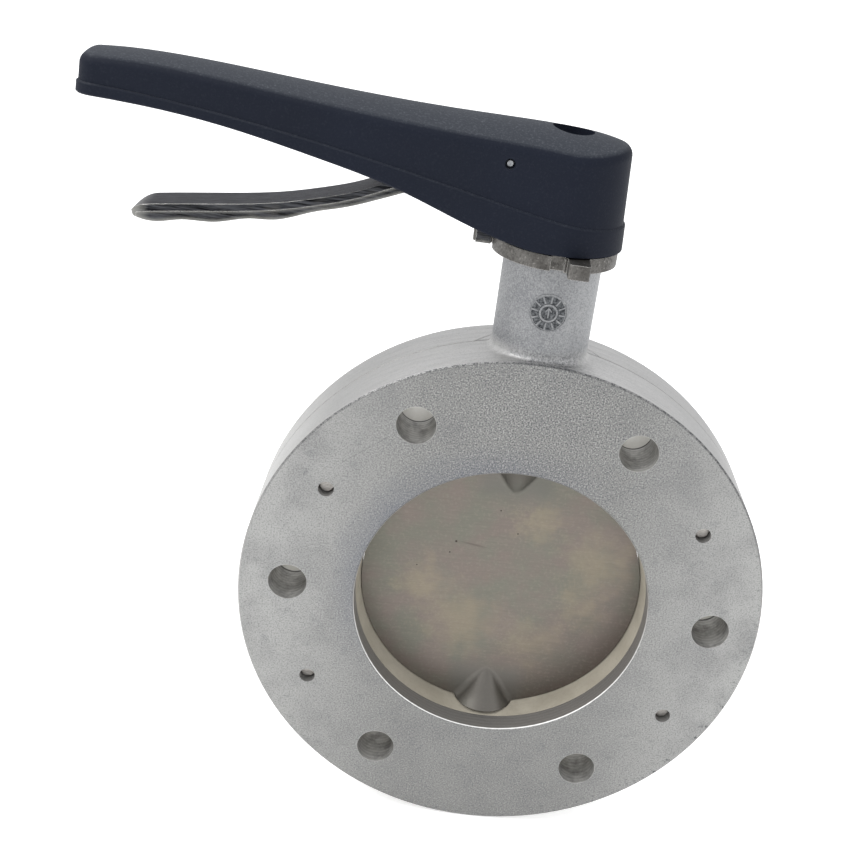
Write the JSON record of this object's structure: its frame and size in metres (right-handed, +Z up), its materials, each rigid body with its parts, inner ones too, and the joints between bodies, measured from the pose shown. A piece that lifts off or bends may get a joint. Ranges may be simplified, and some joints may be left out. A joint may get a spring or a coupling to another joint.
{
  "type": "butterfly valve",
  "caption": "Wafer-style lever-operated butterfly valve: split aluminium ring body, stainless disc in an elastomer seat, notched plate and a squeeze-trigger hand lever.",
  "frame": {"origin": "centre of the bore, half-way between the two flange faces, on the stem's axis", "axes": "+Y along the pipe from the pictured face to the other, +Z up the stem, closed lever towards -X"},
  "size_m": [0.2378, 0.047, 0.2538],
  "materials": {
    "cast_aluminium": "die cast, fine grain, machined bore and faces",
    "dowel_steel": "ground",
    "seat_elastomer": "moulded, satin, cream",
    "cast_stainless": "investment cast, tumbled, stained",
    "stem_steel": "turned",
    "o_ring_rubber": "moulded",
    "bush_polymer": "turned acetal",
    "wiper_rubber": "moulded",
    "plate_stainless": "investment cast, gritty",
    "screw_steel": "cold headed",
    "lever_nylon": "moulded, fine grain, blue-black",
    "insert_steel": "sintered",
    "trigger_stainless": "investment cast, ridged",
    "pin_steel": "ground",
    "spring_steel": "drawn wire"
  },
  "bodies": {
    "valve_body": {"body_front": "cast_aluminium", "body_rear": "cast_aluminium", "joining_dowels": "dowel_steel", "seat_ring": "seat_elastomer", "trunnion_bush": "bush_polymer", "lower_stem_bush": "bush_polymer", "upper_stem_bush": "bush_polymer", "stem_wiper": "wiper_rubber", "thrust_washer": "bush_polymer", "notch_plate": "plate_stainless", "plate_screws": "screw_steel"},
    "stem_and_lever": {"disc": "cast_stainless", "drive_stem": "stem_steel", "stem_o_rings": "o_ring_rubber", "lever": "lever_nylon", "hub_insert": "insert_steel", "lever_washer": "screw_steel", "lever_bolt": "screw_steel", "trigger_pin": "pin_steel", "trigger_spring": "spring_steel"},
    "trigger": {"trigger": "trigger_stainless"}
  },
  "joints": [
    {"name": "lever_turn", "type": "hinge", "parent": "valve_body", "child": "stem_and_lever", "pos_m": [0, 0, 0], "axis": [0, 0, 1], "range_deg": [0, 90]},
    {"name": "trigger_squeeze", "type": "hinge", "parent": "stem_and_lever", "child": "trigger", "pos_m": [-0.0185, 0, 0.1504], "axis": [0, 1, 0], "range_deg": [0, 12], "stiffness_Nm_per_rad": 1, "springref_deg": -20.05, "deforming": ["trigger_spring"]}
  ]
}
